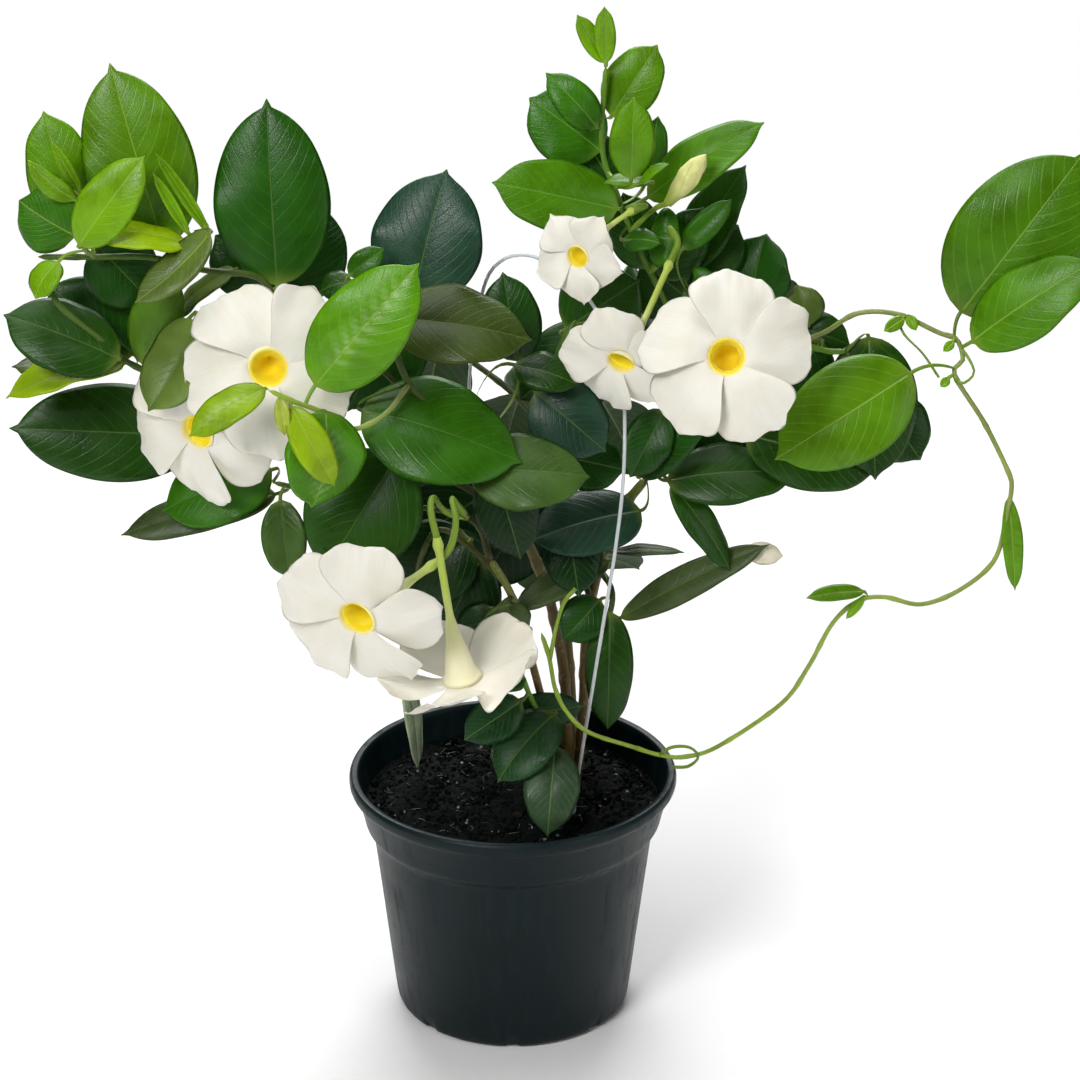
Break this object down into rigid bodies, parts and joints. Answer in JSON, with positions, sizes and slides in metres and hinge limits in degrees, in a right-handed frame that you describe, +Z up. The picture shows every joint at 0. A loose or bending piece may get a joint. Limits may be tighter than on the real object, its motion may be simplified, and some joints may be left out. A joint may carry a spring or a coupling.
{
  "type": "potted flowering vine",
  "caption": "Potted mandevilla: twining leafy stems on a wire hoop, a trailing vine and funnel blooms with pinwheel lobes, in a tapered round nursery pot.",
  "frame": {"origin": "centre of the flat underside of the pot", "axes": "+Z up through the pot; the front of the plant, where most blooms face, looks along -Y; +X is towards the trailing vine"},
  "size_m": [0.5313, 0.2604, 0.5381],
  "materials": {
    "pot_plastic": "satin black injection-moulded polypropylene",
    "compost": "crumbly dark peat compost with fibres",
    "hoop_wire": "pale coated wire, satin",
    "bark": "smooth brown bark with a waxy sheen",
    "leaf_dark": "glossy dark green leaf with pale veins",
    "leaf_mid": "glossy mid green leaf with pale veins",
    "leaf_young": "soft glossy young leaf, bright green",
    "petal_ivory": "velvety ivory petal with a yellow throat",
    "petal_cream": "cream petal, smooth"
  },
  "bodies": {
    "root": {"pot": "pot_plastic", "soil": "compost", "hoop": "hoop_wire", "crown_stems": "bark", "bud_cream": "petal_cream", "petal_spent": "petal_cream", "young_left_top": "leaf_young", "young_left_mid": "leaf_young", "shoot_left_front": "leaf_young", "vine_right": "leaf_young", "shoot_top": "leaf_mid", "shoot_right": "leaf_mid", "shoot_pot": "leaf_mid", "shoot_left_high": "leaf_dark", "shoot_left_low": "leaf_dark", "shoot_centre_left": "leaf_dark", "shoot_left_under": "leaf_dark", "shoot_centre": "leaf_dark", "shoot_right_inner": "leaf_dark", "shoot_upper_right": "leaf_dark", "shoot_low": "leaf_dark", "shoot_low_front": "leaf_dark", "shoot_low_left": "leaf_dark", "shoot_back_left": "leaf_dark", "shoot_back_right": "leaf_dark", "shoot_back_low": "leaf_dark", "bloom_left_upper": "petal_ivory", "bloom_left_lower": "petal_ivory", "bloom_top": "petal_ivory", "bloom_centre": "petal_ivory", "bloom_right": "petal_ivory", "bloom_low_left": "petal_ivory", "bloom_hanging": "petal_ivory"}
  },
  "joints": []
}
